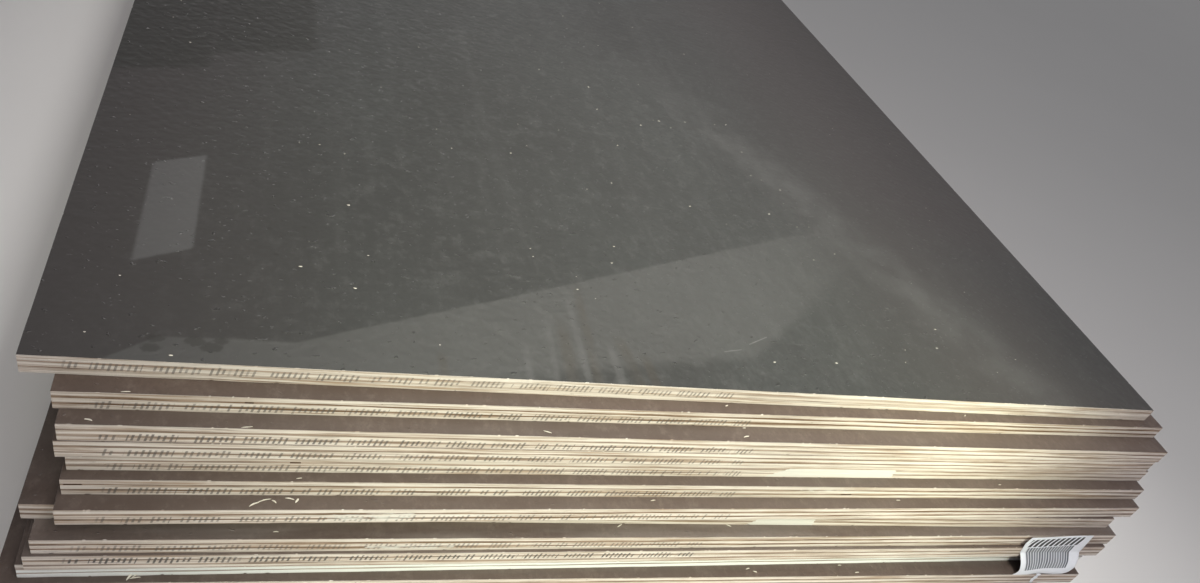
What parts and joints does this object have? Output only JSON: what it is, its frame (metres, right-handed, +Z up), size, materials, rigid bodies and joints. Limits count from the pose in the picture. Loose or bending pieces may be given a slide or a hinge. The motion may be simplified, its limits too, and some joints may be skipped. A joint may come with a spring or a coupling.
{
  "type": "stack of plywood sheets",
  "caption": "Pile of coated full-size plywood sheets lying flat and slightly askew, bare ply edges showing, with a blank paper tag on the near end.",
  "frame": {"origin": "middle of the bottom sheet's underside", "axes": "+Z up through the pile, +Y along the sheets away from the tagged end, +X to the right when facing that end"},
  "size_m": [1.3013, 2.537, 0.4191],
  "materials": {
    "coated_plywood": "satin dark grey-brown coating on both faces, sawn ply edges left bare",
    "tag_paper": "matt white label paper"
  },
  "bodies": {
    "root": {"sheet_01": "coated_plywood", "sheet_02": "coated_plywood", "sheet_03": "coated_plywood", "sheet_04": "coated_plywood", "sheet_05": "coated_plywood", "sheet_06": "coated_plywood", "sheet_07": "coated_plywood", "sheet_08": "coated_plywood", "sheet_09": "coated_plywood", "sheet_10": "coated_plywood", "sheet_11": "coated_plywood", "sheet_12": "coated_plywood", "sheet_13": "coated_plywood", "sheet_14": "coated_plywood", "sheet_15": "coated_plywood", "sheet_16": "coated_plywood", "sheet_17": "coated_plywood", "sheet_18": "coated_plywood", "sheet_19": "coated_plywood", "sheet_20": "coated_plywood", "sheet_21": "coated_plywood", "sheet_22": "coated_plywood", "unit_tag": "tag_paper"}
  },
  "joints": []
}
